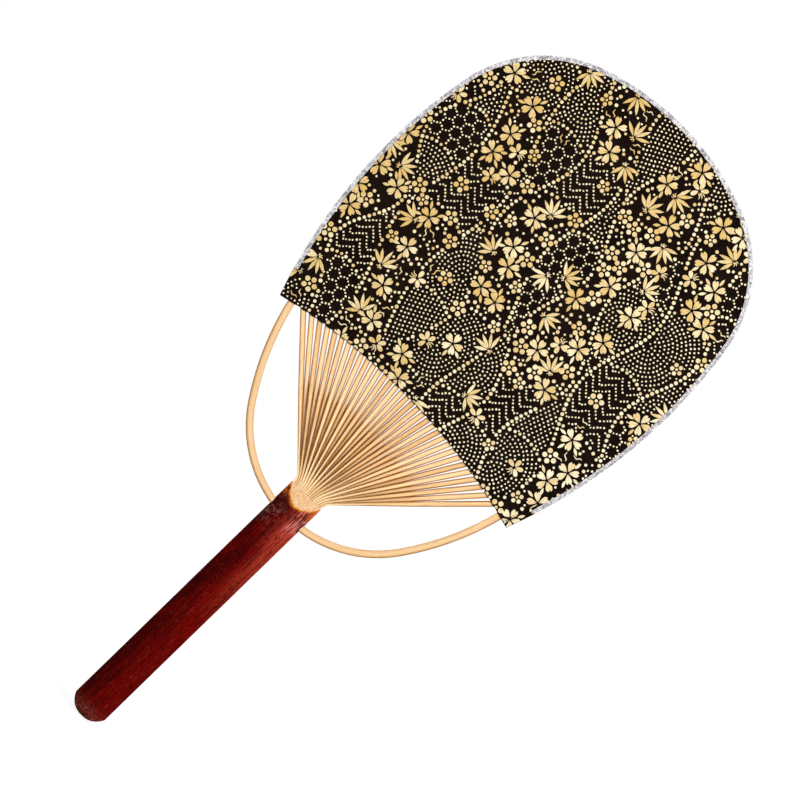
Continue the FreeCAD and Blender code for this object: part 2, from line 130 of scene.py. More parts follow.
def apply(piece, kind, **settings):
    """Adds a modifier with its settings and applies it."""
    only(piece)
    modifier = piece.modifiers.new(kind.lower(), kind)
    for name, setting in settings.items():
        setattr(modifier, name, setting)
    bpy.ops.object.modifier_apply(modifier=modifier.name)


# Shader nodes as Python expressions

class Socket:
    """An output of a node, with Python's own operators."""

    def __init__(self, nodes, link):
        self.nodes = nodes
        self.link = link

    def math(self, operation, first, second=0.0):
        return self.nodes.node("ShaderNodeMath", {"operation": operation}, {0: first, 1: second})

    def __add__(self, other):
        return self.math("ADD", self, other)

    __radd__ = __add__

    def __sub__(self, other):
        return self.math("SUBTRACT", self, other)

    def __rsub__(self, other):
        return self.math("SUBTRACT", other, self)

    def __mul__(self, other):
        return self.math("MULTIPLY", self, other)

    __rmul__ = __mul__

    def __truediv__(self, other):
        return self.math("DIVIDE", self, other)

    def __rtruediv__(self, other):
        return self.math("DIVIDE", other, self)

    def __pow__(self, other):
        return self.math("POWER", self, other)

    def __rpow__(self, other):
        return self.math("POWER", other, self)

    def __abs__(self):
        return self.math("ABSOLUTE", self)

    def higher(self, other):
        return self.math("MAXIMUM", self, other)

    def step(self, low, high):
        """0 below low, 1 above high and a smooth rise between them. low may be the higher one."""
        settings = {"interpolation_type": "SMOOTHSTEP"}
        return self.nodes.node("ShaderNodeMapRange", settings, {0: self, 1: low, 2: high, 3: 0.0, 4: 1.0})


class Nodes:
    """The nodes of a material or of the world."""

    def __init__(self, owner):
        owner.use_nodes = True
        self.tree = owner.node_tree

    def node(self, kind, settings=None, inputs=None, out=0):
        """Adds a node, its settings first, then the values or links of its sockets. Returns one output."""
        node = self.tree.nodes.new(kind)
        for name, setting in (settings or {}).items():
            setattr(node, name, setting)
        for key, entry in (inputs or {}).items():
            if isinstance(entry, Socket):
                self.tree.links.new(entry.link, node.inputs[key])
            else:
                node.inputs[key].default_value = entry
        return node if out is None else Socket(self, node.outputs[out])

    def link(self, socket, node, name):
        self.tree.links.new(socket.link, self.tree.nodes[node].inputs[name])


class Finish(Nodes):
    """A material being made. x, y and z are the place on the fan in millimetres."""

    def __init__(self, name):
        self.material = bpy.data.materials.new(name)
        super().__init__(self.material)
        self.shader = self.tree.nodes["Principled BSDF"]
        place = self.node("ShaderNodeTexCoord", out="Object")
        self.place = self.vector("SCALE", place, Scale=1 / MM)
        axes = self.node("ShaderNodeSeparateXYZ", inputs={0: self.place}, out=None)
        self.x, self.y, self.z = (Socket(self, axes.outputs[k]) for k in range(3))

    def vector(self, operation, first, second=(0.0, 0.0, 0.0), **named):
        return self.node("ShaderNodeVectorMath", {"operation": operation}, {0: first, 1: second, **named})

    def join(self, x, y, z):
        return self.node("ShaderNodeCombineXYZ", inputs={0: x, 1: y, 2: z})

    def noise(self, place, scale, detail=2.0, roughness=0.5):
        """Noise from 0 to 1 at a scale per millimetre."""
        inputs = {"Vector": place, "Scale": scale, "Detail": detail, "Roughness": roughness}
        return self.node("ShaderNodeTexNoise", {}, inputs)

    def grain(self, across, deep, along, length, scale, detail=3.0):
        """Noise drawn out into fibres of a length, in millimetres."""
        return self.noise(self.join(across, deep, along / length), scale, detail, 0.6)

    def attribute(self, name):
        return self.node("ShaderNodeAttribute", {"attribute_name": name}, out="Fac")

    def mix(self, share, first, second):
        """A colour between two colours."""
        settings = {"data_type": "RGBA"}
        return self.node("ShaderNodeMix", settings, {0: share, 6: first, 7: second}, out=2)

    def bump(self, height, depth):
        """Normals of a relief whose height of 1 stands for a depth in millimetres."""
        return self.node("ShaderNodeBump", {}, {"Height": height, "Strength": 1.0, "Distance": depth * MM})

    def done(self, links, **values):
        """Sets the shader's sockets: links for what varies over the surface, values for what doesn't."""
        for name, entry in links.items():
            self.link(entry, self.shader.name, name)
        for name, entry in values.items():
            self.shader.inputs[name.replace("_", " ").title().replace("Ior", "IOR")].default_value = entry
        return self.material


def tint(red, green, blue):
    """A linear colour from one read off a screen, 0 to 255."""
    channels = [c / 255 for c in (red, green, blue)]
    linear = [c / 12.92 if c <= 0.04045 else ((c + 0.055) / 1.055) ** 2.4 for c in channels]
    return (*linear, 1.0)


# Finishes

# The handle's neck: how far below it the bow's hole lies, where in depth its bevels start, and their slopes
HOLE_BELOW = 11.7
BEVEL_START = 1.6
FRONT_BEVEL_SLOPE = 6.2 / 3.2
BACK_BEVEL_SLOPE = 5.0 / 2.2


def lacquer():
    """Dark red lacquer with fibre streaks and wear at the butt and neck, painted shade on its left side, and
    painted sheen and highlights on its right. The neck's bevels are bare bamboo.
    """
    f = Finish("red_lacquer")
    x, y, z = f.x, f.y, f.z
    cloud = f.noise(f.join(x, y, z / 3.0), 0.13, 3.0)
    fibre = f.grain(x, y, z, 22.0, 1.2)
    fine = f.grain(x, y, z, 14.0, 2.6, 2.0)
    # Fibres and clouds vary the lacquer's tone. The x term makes the left (-X) side darker and the right
    # lighter: painted shade and painted light.
    tone_and_side_shade = (fibre * 0.45 + cloud * 0.3 + x.step(-9.0, 8.0) * 0.25).step(0.28, 0.62)
    colour = f.mix(tone_and_side_shade, tint(46, 0, 0), tint(96, 2, 0))
    # Painted sheen: a lighter red band down the right (+X) side of the handle's upper part.
    sheen_band = x.step(0.5, 7.0) * z.step(-10.0, NECK - 25.0)
    sheen_band = sheen_band + x.step(-2.0, 2.0) * z.step(NECK - 34.0, NECK - 20.0) * 0.5
    colour = f.mix(sheen_band * (0.1 + fine), colour, tint(174, 60, 42))
    # Lighter fibre streaks, partly the lacquer's own, made stronger on the right (+X) side as a painted
    # highlight.
    streak = fine.step(0.52, 0.66) * cloud.step(0.30, 0.60)
    colour = f.mix(streak * (0.15 + x.step(-2.0, 6.5) * 0.4), colour, tint(150, 36, 22))
    dark = f.grain(x, y, z, 30.0, 1.7)
    colour = f.mix(dark.step(0.50, 0.64) * 0.7, colour, tint(34, 1, 2))
    fleck = f.grain(x, y, z, 4.0, 2.4, 2.0)
    colour = f.mix(fleck.step(0.62, 0.70) * 0.32, colour, tint(128, 66, 40))
    pits = f.noise(f.join(x, y, z / 2.2), 1.6, 4.0)
    colour = f.mix(pits.step(0.56, 0.66) * 0.85, colour, tint(32, 2, 3))

    # Wear: matt speckles at the butt and on the left below the neck. A painted highlight on the right below
    # the neck
    rub = f.noise(f.place, 0.55, 5.0, 0.65)
    speck = f.noise(f.place, 1.6, 3.0, 0.6)
    butt = z.step(BUTT + 9.0, BUTT + 1.0) * speck.step(0.44, 0.64)
    colour = f.mix(butt * 0.7, colour, tint(118, 82, 72))
    left = x.step(1.0, -5.0) * z.step(NECK - 26.0, NECK - 13.0) * (rub * 0.6 + speck * 0.4).step(0.50, 0.58)
    colour = f.mix(left * 0.7, colour, tint(120, 88, 80))
    # Painted highlight: pinkish speckles on the right side below the neck.
    right = x.step(1.5, 4.5) * z.step(NECK - 22.0, NECK - 12.0) * fine.step(0.48, 0.60)
    colour = f.mix(right * 0.8, colour, tint(214, 138, 128))
    char = z.step(NECK - 15.0, NECK - 8.0) * (rub * 0.5 + fibre * 0.5).step(0.46, 0.55)
    colour = f.mix(char * 0.85, colour, tint(46, 14, 6))
    hole = abs(z - NECK + HOLE_BELOW).step(3.4, 1.8) * abs(x).step(7.0, 8.3) * abs(y).step(2.7, 1.6)
    colour = f.mix(hole * 0.9, colour, tint(24, 6, 4))

    # Bevels: how far a place lies outside each of them
    front = z - NECK + (-BEVEL_START - y) * FRONT_BEVEL_SLOPE
    back = z - NECK + (y - BEVEL_START) * BACK_BEVEL_SLOPE
    cut = front.higher(back) + (rub - 0.5) * 1.6
    flank = abs(x).step(6.2, 8.2) * z.step(NECK - 9.5, NECK - 5.0)
    burn = (cut.step(-2.4, -0.9) * rub.step(0.36, 0.56)).higher(flank * rub.step(0.38, 0.58))
    colour = f.mix(burn * 0.9, colour, tint(188, 92, 26))
    rind = cut.step(-1.3, -0.5)
    colour = f.mix(rind, colour, tint(214, 140, 56))
    bare = cut.step(-0.55, 0.05)
    pale = f.mix(fine.step(0.36, 0.62), tint(236, 200, 156), tint(206, 164, 122))
    pale = f.mix(speck.step(0.50, 0.66) * 0.6, pale, tint(192, 152, 122))
    colour = f.mix(bare, colour, pale)

    rough = 0.42 + rub * 0.14 + bare * 0.2 + butt.higher(left) * 0.2
    relief = fibre * 0.6 + fine * 0.4 + pits * 0.3
    return f.done({"Base Color": colour, "Roughness": rough, "Normal": f.bump(relief, 0.14)},
                  specular_ior_level=0.015)


def bamboo(name, face, flank, rim, skin=0.0, rooted=False):
    """Bare planed bamboo in two tints for its face, two for its flanks and one for its rim.

    The mesh says how far across and along the strip a place lies, its share of half the width, and the
    strip's tone. skin says how much darker the strip's outer side is than the inner one, and rooted that it
    is still whole at its root.
    """
    f = Finish(name)
    across, along, share, tone = (f.attribute(part) for part in ("across", "along", "share", "tone"))
    across = across + tone * 90.0
    fibre = f.grain(across, f.y, along, 40.0, 2.2)
    fine = f.grain(across, f.y, along, 60.0, 6.5, 2.0)
    shade = (fibre * 0.6 + tone * 0.4).step(0.28, 0.72)
    side = abs(share + skin) + (fibre - 0.5) * 0.25
    split = along.step(2.0, 20.0) * 0.8 + 0.2 if rooted else 1.0
    # Darker flanks and a dark rim by the edges: partly the strip's rind, partly painted shade along its
    # edges.
    spots_and_edge_shade = (fine.step(0.54, 0.68) * 0.5).higher(side.step(0.40, 0.80)) * split
    colour = f.mix(spots_and_edge_shade, f.mix(shade, *face), f.mix(shade, *flank))
    colour = f.mix(side.step(0.82, 1.0) * split, colour, rim)
    rough = 0.48 + fibre * 0.16
    relief = fibre * 0.6 + fine * 0.4
    return f.done({"Base Color": colour, "Roughness": rough, "Normal": f.bump(relief, 0.05)},
                  specular_ior_level=0.2)


def rib_bamboo():
    # Orange flanks and a dark brown rim: partly rind, partly painted shade in the gaps between the ribs.
    return bamboo("rib_bamboo", (tint(243, 207, 158), tint(219, 176, 120)),
                  (tint(186, 122, 50), tint(160, 94, 32)), tint(82, 38, 8), rooted=True)


def bow_bamboo():
    return bamboo("bow_bamboo", (tint(232, 198, 154), tint(216, 176, 126)),
                  (tint(214, 170, 116), tint(196, 146, 88)), tint(142, 98, 46), skin=0.14)


def black_paper():
    """Matt black paper with short fibres in it."""
    f = Finish("black_paper")
    pulp = f.noise(f.place, 0.9, 5.0, 0.65)
    cloud = f.noise(f.place, 0.06, 3.0)
    colour = f.mix((pulp * 0.6 + cloud * 0.4).step(0.35, 0.65), tint(9, 2, 0), tint(24, 14, 9))
    return f.done({"Base Color": colour, "Roughness": 0.62 + pulp * 0.14, "Normal": f.bump(pulp, 0.03)},
                  specular_ior_level=0.03)


def gold_print():
    """Printed gold, browner at a shape's rim than in its middle, and paler towards the leaf's lower right by
    a painted sheen.
    """
    f = Finish("gold_print")
    tone, glow = f.attribute("tone"), f.attribute("glow")
    mottle = f.noise(f.place, 0.55, 3.0, 0.6)
    # Painted sheen: the gold turns paler towards the leaf's lower right.
    painted_sheen = (f.x * 0.6 - f.z * 0.4 + 80.0) / 150.0
    light = f.mix((painted_sheen * 0.5 + mottle * 0.5).step(0.30, 0.75), tint(236, 228, 192), tint(250, 250, 238))
    warm = (glow * 0.2 + mottle * 0.6 - tone * 0.7 - painted_sheen * 0.25).step(-0.20, 0.40)
    colour = f.mix(warm, light, tint(204, 172, 100))
    colour = f.mix((1.0 - glow) * 0.35, colour, tint(184, 138, 70))
    return f.done({"Base Color": colour, "Roughness": 0.42 + mottle * 0.2},
                  metallic=0.08, specular_ior_level=0.2)


def silver_paper():
    """Crinkled silver paper, mottled grey and white: painted glints and reflection off its crinkles."""
    f = Finish("silver_paper")
    crease = f.noise(f.place, 0.55, 4.0, 0.7)
    speck = f.noise(f.place, 1.7, 3.0, 0.6)
    # Painted reflection: white glints with darker grey between them, following the crinkles.
    colour = f.mix((crease * 0.5 + speck * 0.5).step(0.38, 0.63), tint(94, 91, 95), tint(215, 213, 214))
    rough = 0.34 + speck * 0.3
    relief = crease + speck * 0.5
    return f.done({"Base Color": colour, "Roughness": rough, "Normal": f.bump(relief, 0.2)}, metallic=0.3)


def cotton():
    """Twisted pale thread."""
    f = Finish("cotton_thread")
    twist = f.noise(f.place, 4.0, 2.0)
    colour = f.mix(twist, tint(214, 206, 186), tint(240, 234, 218))
    return f.done({"Base Color": colour, "Roughness": 0.8 + twist * 0.1})


# Handle, ribs and bow

HANDLE_EASE = 0.25
RIB_SEED = 7


def mark(mesh, name, numbers):
    """Gives each corner of a mesh a number that its finish can read."""
    mesh.attributes.new(name, "FLOAT", "POINT").data.foreach_set("value", numbers)


def make_handle():
    handle = copy_of("handle", "handle_bar")
    apply(handle, "BEVEL", width=HANDLE_EASE * MM, segments=3, limit_method="ANGLE",
          angle_limit=math.radians(28), use_clamp_overlap=True)
    smooth(handle, angle=35)
    dress(handle, lacquer(), "lacquer", "handle")


def mark_strip(strip, way, half, tone):
    """Marks a bamboo strip with its ways across and along, the share of its half width, and its tone."""
    ways = [way(corner.co.x / MM, corner.co.z / MM) for corner in strip.data.vertices]
    mark(strip.data, "across", [across for across, _ in ways])
    mark(strip.data, "along", [along for _, along in ways])
    mark(strip.data, "share", [across / half(along) for across, along in ways])
    mark(strip.data, "tone", [tone] * len(ways))


def rib_half(along):
    """Half a rib's width at a place along it."""
    for (near, first), (far, second) in zip(RIB_HALVES, RIB_HALVES[1:]):
        if along <= far:
            return first + (second - first) * (along - near) / (far - near)
    return RIB_HALVES[-1][1]


def rib_way(lean, x, z):
    """How far a place lies across a rib, from its line to the right, and along it from its root.

    lean is -1 for the first rib and 1 for the last. A rib turns along an arc and then runs straight.
    """
    turn, root = math.radians(RIB_TURN * lean), ROOT_HALF * lean
    if not lean:
        return x, z - NECK
    radius, hand = RIB_BEND / turn, math.copysign(1.0, turn)
    turned = math.atan2(z - NECK, hand * (root + radius - x))
    if turned < abs(turn):
        return radius - hand * math.hypot(x - root - radius, z - NECK), abs(radius) * turned
    from_x, from_z = x - root - radius * (1 - math.cos(turn)), z - NECK - radius * math.sin(turn)
    return (from_x * math.cos(turn) - from_z * math.sin(turn),
            RIB_BEND + from_x * math.sin(turn) + from_z * math.cos(turn))


def make_ribs():
    finish = rib_bamboo()
    tones = random.Random(RIB_SEED)
    for k, node in enumerate(RIBS):
        lean = 2 * k / (len(RIBS) - 1) - 1
        rib = copy_of(node, f"{node}_strip", whole=False)
        mark_strip(rib, lambda x, z: rib_way(lean, x, z), rib_half, tone=tones.uniform(0, 1))
        smooth(rib, angle=15)
        dress(rib, finish, "bamboo", node)


def bow_way(x, z):
    """How far a place lies across the bow, from its line outwards, and along it from its foot."""
    turn = math.atan2(abs(x), BOW_MIDDLE - z)
    knee = math.radians(BOW_KNEE)
    if turn < knee:
        return math.hypot(x, z - BOW_MIDDLE) - BOW_INNER, math.copysign(BOW_INNER * turn, x)
    step = BOW_OUTER - BOW_INNER
    from_x = abs(x) + step * math.sin(knee)
    from_z = BOW_MIDDLE + step * math.cos(knee) - z
    along = BOW_INNER * knee + BOW_OUTER * (math.atan2(from_x, from_z) - knee)
    return math.hypot(from_x, from_z) - BOW_OUTER, math.copysign(along, x)


def make_bow():
    bow = copy_of("bow", "bow_strip", whole=False)
    mark_strip(bow, bow_way, lambda along: BOW_HALF, tone=0.5)
    smooth(bow, angle=3)
    dress(bow, bow_bamboo(), "bamboo", "bow")


# Leaf

# How far the paper sinks between two ribs, and how far its lower edge draws back there
SAG = 0.10
EDGE_WAVE = 0.30

# Creases beside the outermost ribs
SPARE_CREASES = 4

# The share of the leaf's width that its arch is looked for in, and how near the arch its corners lie
ARCH_SHARE = 0.9
ARCH_WITHIN = 0.1

# How squarely a face has to look forward, or an edge upward, to count as doing so
FORWARD = 0.9
UPWARD = 0.7

PHASE_ROUNDS = 5


def rib_phase(x, z):
    """Where a place of the leaf lies among the ribs: a whole number on a rib, a half between two.

    A rib's root depends on its own turn, so the answer is found in a few rounds.
    """
    share = 0.0
    for _ in range(PHASE_ROUNDS):
        share = math.degrees(math.atan2(x - ROOT_HALF * share, z - NECK - RIB_BEND / 2)) / RIB_TURN
    return share * (len(RIBS) - 1) / 2


def sag(x, z):
    """How far the paper sinks between two ribs, from 0 on a rib to 1."""
    return (1 - math.cos(2 * math.pi * rib_phase(x, z))) / 2


def make_sheet(node, name, finish):
    """A sheet creased along the ribs: it sinks between them, and its lower edge draws back there."""
    sheet = copy_of(node, name)
    low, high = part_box(node)
    inward = -math.copysign(1.0, low.y + high.y)
    steps = 2 * (len(RIBS) - 1)
    bpy.ops.object.mode_set(mode="EDIT")
    for step in range(-steps - SPARE_CREASES, steps + SPARE_CREASES + 1):
        share = step / steps
        turn = math.radians(RIB_TURN * share)
        bpy.ops.mesh.select_all(action="SELECT")
        bpy.ops.mesh.bisect(
            plane_co=(ROOT_HALF * share * MM, 0.0, (NECK + RIB_BEND / 2) * MM),
            plane_no=(math.cos(turn), 0.0, -math.sin(turn)))
    bpy.ops.object.mode_set(mode="OBJECT")
    for corner in sheet.data.vertices:
        x, z = corner.co.x / MM, corner.co.z / MM
        depth = sag(x, z)
        corner.co.y += inward * SAG * depth * MM
        if on_arch(x, z):
            corner.co.z += EDGE_WAVE * depth * MM
    smooth(sheet, angle=40)
    dress(sheet, finish, "printed_paper", node)


def on_arch(x, z):
    """Whether a place lies on the leaf's arched lower edge, away from its two corners."""
    corner_x, corner_z = min(leaf_outline, key=lambda place: place[1])
    reach = ARCH_SHARE * abs(corner_x)
    arch = [place for place in leaf_outline if abs(place[0]) < reach and place[1] < EAR_TOP]
    rise = max(place[1] for place in arch) - corner_z
    radius = (corner_x ** 2 + rise ** 2) / (2 * rise)
    off_line = math.hypot(x, z - corner_z - rise + radius) - radius
    return abs(x) < abs(corner_x) - EAR_COVER and abs(off_line) < ARCH_WITHIN


def outline_of(node):
    """The corners of a CAD sheet's front in millimetres, in order, counter-clockwise seen from the front."""
    sheet = copy_of(node, "outline_only")
    forward = [face for face in sheet.data.polygons if face.normal.y < -FORWARD]
    front = max(forward, key=lambda face: face.area)
    corners = [sheet.data.vertices[k].co / MM for k in front.vertices]
    bpy.data.objects.remove(sheet)
    return [(c.x, c.z) for c in corners]


leaf_outline = outline_of("front_paper")


# Gold print

FRONT_SEED = 11
BACK_SEED = 23

# How far the print stands above the paper and reaches into it
PRINT_THICKNESS = 0.05
PRINT_SINK = 0.03

# What stays bare of print: under the strip, under an ear, along the lower edge and along an ear's own edges
BINDING_COVER = 1.65
EAR_COVER = 2.65
LOWER_MARGIN = 0.40
EAR_MARGIN = 0.12

# Edges up to this far beyond an outline are tried when it is cut
TRIM_REACH = 3.0

# An outline has a heart only where each of its edges makes a triangle with it of more than half this area
STAR_MARGIN = 1e-4

# Right halves of the printed shapes, in shares of their width and length. A petal has a slit up its middle
PETAL_SHARES = ((0.0, 0.5), (0.035, 0.04), (0.25, 0.28), (0.45, 0.54),
                (0.5, 0.72), (0.4, 0.9), (0.17, 1.0), (0.0, 0.82))
ROUND_SHARES = ((0.10, 0.04), (0.36, 0.26), (0.50, 0.56), (0.42, 0.84), (0.18, 0.98))
BLADE_SHARES = ((0.0, 0.0), (0.28, 0.18), (0.50, 0.45), (0.36, 0.74), (0.0, 1.0))

# A stroke's width along it, and the half waves that it makes
STROKE_SHARES = (0.3, 0.7, 0.95, 1.0, 1.0, 1.0, 0.95, 0.7, 0.3)
STROKE_BENDS = 2.5


def shape(shares, length, width):
    """A mirrored outline that points up."""
    right = [(x * width, z * length) for x, z in shares]
    left = [(-x, z) for x, z in reversed(right) if x > 0]
    return right + left


def disc(radius, corners):
    return [(radius * math.cos(2 * math.pi * k / corners), radius * math.sin(2 * math.pi * k / corners))
            for k in range(corners)]


def stroke(length, width, wave):
    """A short wavy stroke."""
    steps = len(STROKE_SHARES) - 1
    line = [(wave * math.sin(STROKE_BENDS * math.pi * k / steps), length * k / steps)
            for k in range(steps + 1)]
    right = [(x + width / 2 * share, z) for (x, z), share in zip(line, STROKE_SHARES)]
    return right + [(x - width / 2 * share, z) for (x, z), share in zip(reversed(line), STROKE_SHARES)]


def moved(points, turn, x=0.0, z=0.0):
    """Points turned clockwise by an angle in degrees, then shifted."""
    c, s = math.cos(math.radians(turn)), math.sin(math.radians(turn))
    return [(x + px * c + pz * s, z - px * s + pz * c) for px, pz in points]


def lifted(points, by):
    return [(x, z + by) for x, z in points]


def centre(points):
    return sum(x for x, _ in points) / len(points), sum(z for _, z in points) / len(points)


# Corners of a dot's outline
ROUND_CORNERS, FINE_CORNERS = 10, 8


def cherry(dice):
    """Five notched petals, with slender leaves behind some of the gaps."""
    length, width, heart = dice.uniform(4.3, 4.7), dice.uniform(2.75, 3.05), 0.4
    petal = lifted(shape(PETAL_SHARES, length, width), heart)
    parts = [moved(petal, 72 * k + dice.uniform(-4, 4)) for k in range(5)]
    blade_width, blade_root = 1.35, 3.4
    for gap in dice.sample(range(5), dice.choice((2, 2, 3, 4))):
        blade = lifted(shape(BLADE_SHARES, dice.uniform(3.2, 4.0), blade_width), blade_root)
        parts.append(moved(blade, 72 * gap + 36 + dice.uniform(-8, 8)))
    return parts


def spray(dice):
    """A fan of slender leaves over a short stalk."""
    count = dice.choice((5, 5, 6))
    width, root, heart_z, stalk_z, spread = 1.55, 0.8, -3.0, -2.9, 29
    parts = []
    for k in range(count):
        side = k - (count - 1) / 2
        length = 7.2 - 0.35 * abs(side) + dice.uniform(-0.4, 0.4)
        blade = lifted(shape(BLADE_SHARES, length, width), root)
        parts.append(lifted(moved(blade, side * spread + dice.uniform(-4, 4)), heart_z))
    stalk = stroke(length=1.8, width=0.5, wave=0.25)
    return parts + [moved(stalk, turn, 0, stalk_z) for turn in (140, 185, 230)]


def plum(dice):
    """Five round petals about a dot."""
    size = dice.choice((3.7, 3.5, 3.0))
    petal_share, place_share, heart_share = 0.31, 0.66, 0.19
    petal = lifted(disc(size * petal_share, ROUND_CORNERS), size * place_share)
    return [moved(petal, 72 * k) for k in range(5)] + [disc(size * heart_share, FINE_CORNERS)]


def side_bloom(dice):
    """A blossom seen from the side, with stamens."""
    petal = lifted(shape(ROUND_SHARES, length=3.6, width=2.0), by=0.5)
    stamen = lifted(stroke(length=2.8, width=0.45, wave=0.2), by=0.9)
    petals = [moved(petal, turn + dice.uniform(-6, 6)) for turn in (-130, -60, 5, 70)]
    return petals + [moved(stamen, turn) for turn in (112, 135, 158)]


def twig(dice):
    """Two loose wavy strokes."""
    return [moved(stroke(dice.uniform(3.2, 4.4), width=0.55, wave=0.4), turn, x, z=-2.0)
            for turn, x in ((-25, -0.9), (15, 0.7))]


# Each motif with the room it takes and how many the leaf carries
MOTIFS = ((cherry, 5.2, 48), (spray, 5.0, 28), (plum, 3.7, 58), (side_bloom, 3.9, 14), (twig, 2.4, 18))
MOTIF_TRIES = 12000
MOTIF_TONES, TONE_SPREAD = (0.15, 0.5), 0.2

# Shares of a motif's room: how far it may stick out of the leaf, and keeps off a border and another motif
OVERHANG_SHARE, BORDER_SHARE, SPACING_SHARE = 0.4, 0.7, 0.84

# Of the places tried outside the open fields, the share that is used all the same
STRAY_SHARE = 0.05

# How far dots keep off a motif's shapes, at their hearts, halfway out and at their rims
HEART_ROOM, HALFWAY_ROOM, RIM_ROOM = 0.9, 0.4, 0.1

# Dots: radius, step and gap. Each field dot stands a little off its place
STRING_DOT, STRING_STEP, STRING_GAP = 0.78, 2.25, 0.25
FIELD_DOT, FIELD_STEP, FIELD_GAP, FIELD_JITTER = 0.43, 1.8, 0.2, 0.15
LOOSE_DOTS, LOOSE_GAP, LOOSE_TRIES = (0.5, 0.65, 0.8), 0.45, 8000

# Up to this radius a dot is printed pale, and larger ones are more golden by a shift of tone
PALE_DOT, GOLDEN_SHIFT = 0.6, 0.35
DOT_TONES = (0.6, 1.2)

# How dots of one kind differ in radius, and all of them once more
BORDER_DOT_SHARES, ARCH_DOT_SHARES, FIELD_DOT_SHARES = (0.9, 1.1), (0.85, 1.0), (0.85, 1.15)
DOT_SHARES = (0.92, 1.08)

# Fine dots: how far rings shift from a field's middle and lie apart, and the sizes of nets and chevrons
RING_SHIFT, RING_SHARE, LINE_SHARE = 9, 1.03, 1.05
NET_SIDE = 3.0
CHEVRON_PITCH, CHEVRON_STEP, CHEVRON_WAVE = 4.0, 1.5, 10.0

# How many of them, to each side of its middle, fill the largest field
RINGS = 17
LINE_COLUMNS, LINE_ROWS = 8, 18
NET_COLUMNS, NET_ROWS = 5, 7
CHEVRON_LINES, CHEVRON_DOTS = 14, 22

# Bands that wander up the leaf: their widths, how far they swing, in what waves, and how they lean
FLOWER_BAND, DOT_BAND = 23.0, 13.0
BAND_SWINGS, BAND_WAVES, BAND_LEAN = (4, 7), (60, 95), 0.1

# Fields that a band is cut into: their heights, where the lowest starts below the leaf, and their arched tops
FIELD_HEIGHTS, FIELD_STARTS, FIELD_ARCH = (22, 38), (5, 30), 3.5
FIELD_KINDS = {
    "flowers": ("open", "open", "open", "open", "rings", "chevrons"),
    "dots": ("rings", "net", "lines", "chevrons", "rings", "net"),
}

Band = namedtuple("Band", "start swing wave phase kind")
Field = namedtuple("Field", "bottom top kind")

# What lies outside all the fields: no band, an open field, and no border near
OUTSIDE = (-1, Field(0, 0, "open"), 9.0)


class Room:
    """What already lies on the sheet, so that dots keep off it and off each other."""

    def __init__(self, cell=4.0):
        self.cell = cell
        self.taken = {}

    def key(self, x, z):
        return math.floor(x / self.cell), math.floor(z / self.cell)

    def free(self, x, z, radius, gap):
        column, row = self.key(x, z)
        for c in range(column - 1, column + 2):
            for r in range(row - 1, row + 2):
                for px, pz, near in self.taken.get((c, r), ()):
                    if math.hypot(px - x, pz - z) < radius + near + gap:
                        return False
        return True

    def take(self, x, z, radius):
        self.taken.setdefault(self.key(x, z), []).append((x, z, radius))


class Area:
    """A flat area as straight edges, each with the way in and how much beside it stays bare.

    Only the edges near an outline cut it, because the leaf's lower edge is hollow. All of a convex area's do.
    """

    def __init__(self, corners, margin, convex=False):
        self.convex = convex
        ends = corners[1:] + corners[:1]
        hand = math.copysign(1.0, sum(a[0] * b[1] - b[0] * a[1] for a, b in zip(corners, ends)))
        self.edges = []
        for (x0, z0), (x1, z1) in zip(corners, ends):
            length = math.hypot(x1 - x0, z1 - z0)
            inward = (-(z1 - z0) / length * hand, (x1 - x0) / length * hand)
            middle = ((x0 + x1) / 2, (z0 + z1) / 2)
            bare = margin(middle, inward)
            start = (x0 + inward[0] * bare, z0 + inward[1] * bare)
            self.edges.append((start, inward, middle, length))

    def depth(self, x, z):
        """How far a place lies inside the printed area. It is negative outside."""
        near = min(self.edges, key=lambda e: max(0.0, math.hypot(e[2][0] - x, e[2][1] - z) - e[3] / 2))
        return (x - near[0][0]) * near[1][0] + (z - near[0][1]) * near[1][1]

    def trim(self, points):
        """What of an outline lies in the printed area."""
        x, z = centre(points)
        reach = max(math.hypot(p[0] - x, p[1] - z) for p in points) + TRIM_REACH
        for (ex, ez), (nx, nz), middle, length in self.edges:
            if not self.convex and math.hypot(middle[0] - x, middle[1] - z) > reach + length / 2:
                continue
            kept = []
            for a, b in zip(points, points[1:] + points[:1]):
                da = (a[0] - ex) * nx + (a[1] - ez) * nz
                db = (b[0] - ex) * nx + (b[1] - ez) * nz
                if da >= 0:
                    kept.append(a)
                if (da < 0) != (db < 0):
                    t = da / (da - db)
                    kept.append((a[0] + (b[0] - a[0]) * t, a[1] + (b[1] - a[1]) * t))
            points = kept
            if len(points) < 3:
                return []
        return points


def leaf_margin(middle, inward):
    """What stays bare of the leaf: the arch's edge, and what the strip or an ear covers."""
    if inward[1] > UPWARD:
        return LOWER_MARGIN
    return BINDING_COVER if middle[1] > EAR_TOP else EAR_COVER


def both_sides(count):
    return range(-count, count + 1)


def rings(x, z, dice):
    """Places of fine dots in rings about a place beside a field's middle."""
    x += dice.uniform(-RING_SHIFT, RING_SHIFT)
    places = []
    for ring in range(1, RINGS + 1):
        radius = ring * FIELD_STEP * RING_SHARE
        count = int(2 * math.pi * radius / FIELD_STEP)
        start = dice.uniform(0, 2 * math.pi)
        turns = [start + 2 * math.pi * k / count for k in range(count)]
        places += [(x + radius * math.cos(turn), z + radius * math.sin(turn)) for turn in turns]
    return places


def lines(x, z, _):
    """Places of fine dots in upright lines, every other one half a step higher."""
    places = []
    for column in both_sides(LINE_COLUMNS):
        rows = [row + 0.5 * (column % 2) for row in both_sides(LINE_ROWS)]
        places += [(x + column * FIELD_STEP * LINE_SHARE, z + row * FIELD_STEP) for row in rows]
    return places


